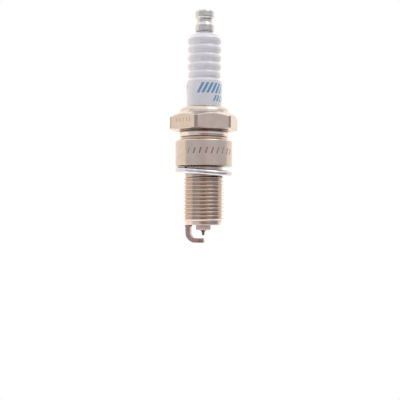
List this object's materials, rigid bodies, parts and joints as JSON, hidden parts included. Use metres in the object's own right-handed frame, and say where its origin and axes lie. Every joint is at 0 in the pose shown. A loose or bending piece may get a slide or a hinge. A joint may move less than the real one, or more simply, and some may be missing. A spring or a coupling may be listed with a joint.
{
  "type": "spark plug",
  "caption": "Spark plug with a 14 mm thread of long reach, a steel hexagon shell with a loose crush gasket, a ribbed ceramic insulator, a fine-wire centre electrode and an L-shaped ground electrode.",
  "frame": {"origin": "on the plug's axis, in the plane of the shell's gasket seat", "axes": "+Z along the plug's axis towards the terminal; -Y and +Y are the outward normals of two opposite hexagon flats; the thread and firing end are at -Z"},
  "size_m": [0.0236, 0.0208, 0.0788],
  "materials": {
    "plated_steel": "nickel plated, satin",
    "bright_steel": "bright plated sheet",
    "insulator_ceramic": "white glaze",
    "terminal_steel": "plated",
    "packing_steel": "plain wire and sheet",
    "talc": "pressed powder",
    "copper_glass": "copper-filled glass, opaque",
    "resistor_glass": "matt black",
    "nickel_alloy": "dull nickel alloy",
    "copper": "plain copper",
    "tip_metal": "drawn wire",
    "weld_metal": "heat-tinted weld"
  },
  "bodies": {
    "plug": {"metal_shell": "plated_steel", "insulator": "insulator_ceramic", "terminal_stud": "terminal_steel", "upper_packing_ring": "packing_steel", "lower_packing_ring": "packing_steel", "inner_seat_gasket": "packing_steel", "talc_filling": "talc", "upper_glass_seal": "copper_glass", "lower_glass_seal": "copper_glass", "resistor": "resistor_glass", "centre_electrode": "nickel_alloy", "copper_core": "copper", "iridium_tip": "tip_metal", "tip_weld": "weld_metal", "ground_electrode": "nickel_alloy", "ground_weld_outer": "weld_metal", "ground_weld_inner": "weld_metal"},
    "gasket": {"crush_gasket": "bright_steel"},
    "terminal": {"terminal_nut": "terminal_steel"}
  },
  "joints": [
    {"name": "gasket_turn", "type": "hinge", "parent": "plug", "child": "gasket", "pos_m": [0, 0, -0.0021], "axis": [0, 0, 1], "continuous": true},
    {"name": "nut_unscrew", "type": "slide", "parent": "plug", "child": "terminal", "axis": [0, 0, 1], "range_m": [0, 0.008]}
  ]
}
